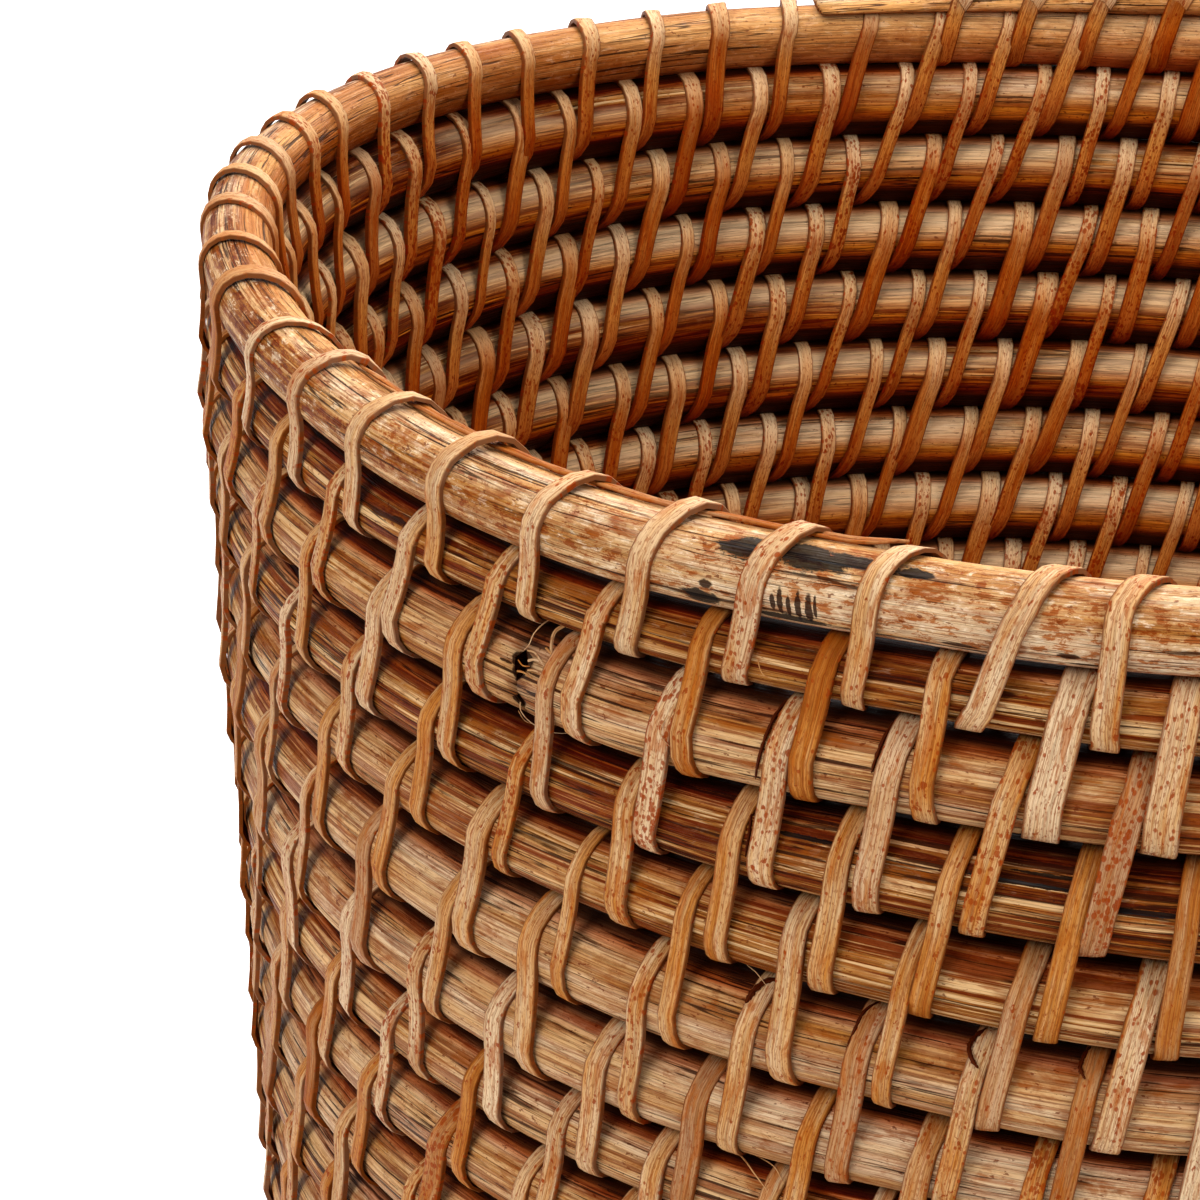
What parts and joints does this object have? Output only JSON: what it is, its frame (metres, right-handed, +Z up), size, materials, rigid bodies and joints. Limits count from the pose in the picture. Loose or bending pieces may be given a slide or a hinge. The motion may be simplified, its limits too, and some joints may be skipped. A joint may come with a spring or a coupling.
{
  "type": "woven planter",
  "caption": "Round, slightly flared basket planter coiled from rattan cane, with lashed courses, a flat coiled base and an open top for a pot.",
  "frame": {"origin": "on the standing surface, under the middle of the planter's box", "axes": "+Z up along the planter's axis; the picture looks mostly along +Y and down; the tail of the coil ends at 110 degrees counter-clockwise from +X"},
  "size_m": [0.2703, 0.2697, 0.2381],
  "materials": {
    "straw_cane": "satin, straw-coloured rattan with orange-brown stains",
    "brown_cane": "satin, tan rattan with dark fibre streaks",
    "split_cane": "satin, split cane peel, tan to orange with red-brown dots",
    "cane_skin": "satin, thin red-brown cane skin"
  },
  "bodies": {
    "root": {"base_coil_cane": "straw_cane", "wall_cane_1": "brown_cane", "wall_cane_2": "straw_cane", "wall_cane_3": "brown_cane", "wall_cane_4": "straw_cane", "wall_cane_5": "brown_cane", "rim_cane": "straw_cane", "rim_sliver": "cane_skin", "rim_lashing": "split_cane"}
  },
  "joints": []
}
